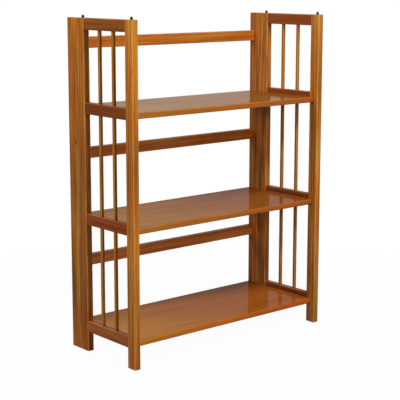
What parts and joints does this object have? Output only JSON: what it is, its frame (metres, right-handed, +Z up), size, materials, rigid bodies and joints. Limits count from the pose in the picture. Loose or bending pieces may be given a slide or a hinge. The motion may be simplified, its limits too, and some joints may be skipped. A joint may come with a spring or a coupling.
{
  "type": "folding bookcase",
  "caption": "Wooden bookcase with open slatted sides, shelves hinged between back boards so that they fold up, back rails, and stacking pegs on top of the posts.",
  "frame": {"origin": "on the floor, midway across the width and the depth", "axes": "+Z up, +X to the right as seen from the front, +Y to the back; the open front faces -Y"},
  "size_m": [0.698, 0.292, 0.934],
  "materials": {
    "frame_wood": "honey oak stain under satin lacquer",
    "shelf_wood": "honey oak stain under satin lacquer, grain along the width",
    "pin": "plain steel",
    "hinge": "antique bronze",
    "peg": "black"
  },
  "bodies": {
    "frame": {"back_rail_bottom": "frame_wood", "back_rail_middle": "frame_wood", "back_rail_top": "frame_wood", "left_back_board": "frame_wood", "left_front_peg": "peg", "left_front_post": "frame_wood", "left_hinge_bottom_board_leaf": "hinge", "left_hinge_bottom_frame_leaf": "hinge", "left_hinge_middle_board_leaf": "hinge", "left_hinge_middle_frame_leaf": "hinge", "left_hinge_top_board_leaf": "hinge", "left_hinge_top_frame_leaf": "hinge", "left_pivot_pin_bottom": "pin", "left_pivot_pin_middle": "pin", "left_pivot_pin_top": "pin", "left_rail_bottom": "frame_wood", "left_rail_lower": "frame_wood", "left_rail_top": "frame_wood", "left_rail_upper": "frame_wood", "left_rear_peg": "peg", "left_rear_post": "frame_wood", "left_slat_bottom_1": "frame_wood", "left_slat_bottom_2": "frame_wood", "left_slat_middle_1": "frame_wood", "left_slat_middle_2": "frame_wood", "left_slat_top_1": "frame_wood", "left_slat_top_2": "frame_wood", "left_support_pin_bottom": "pin", "left_support_pin_middle": "pin", "left_support_pin_top": "pin", "right_back_board": "frame_wood", "right_front_peg": "peg", "right_front_post": "frame_wood", "right_hinge_bottom_board_leaf": "hinge", "right_hinge_bottom_frame_leaf": "hinge", "right_hinge_middle_board_leaf": "hinge", "right_hinge_middle_frame_leaf": "hinge", "right_hinge_top_board_leaf": "hinge", "right_hinge_top_frame_leaf": "hinge", "right_pivot_pin_bottom": "pin", "right_pivot_pin_middle": "pin", "right_pivot_pin_top": "pin", "right_rail_bottom": "frame_wood", "right_rail_lower": "frame_wood", "right_rail_top": "frame_wood", "right_rail_upper": "frame_wood", "right_rear_peg": "peg", "right_rear_post": "frame_wood", "right_slat_bottom_1": "frame_wood", "right_slat_bottom_2": "frame_wood", "right_slat_middle_1": "frame_wood", "right_slat_middle_2": "frame_wood", "right_slat_top_1": "frame_wood", "right_slat_top_2": "frame_wood", "right_support_pin_bottom": "pin", "right_support_pin_middle": "pin", "right_support_pin_top": "pin"},
    "bottom_shelf": {"shelf_bottom": "shelf_wood"},
    "middle_shelf": {"shelf_middle": "shelf_wood"},
    "top_shelf": {"shelf_top": "shelf_wood"}
  },
  "joints": [
    {"name": "bottom_shelf_hinge", "type": "hinge", "parent": "frame", "child": "bottom_shelf", "pos_m": [0, 0.1182, 0.066], "axis": [-1, 0, 0], "range_deg": [0, 90]},
    {"name": "middle_shelf_hinge", "type": "hinge", "parent": "frame", "child": "middle_shelf", "pos_m": [0, 0.1182, 0.372], "axis": [-1, 0, 0], "range_deg": [0, 90]},
    {"name": "top_shelf_hinge", "type": "hinge", "parent": "frame", "child": "top_shelf", "pos_m": [0, 0.1182, 0.678], "axis": [-1, 0, 0], "range_deg": [0, 90]}
  ]
}
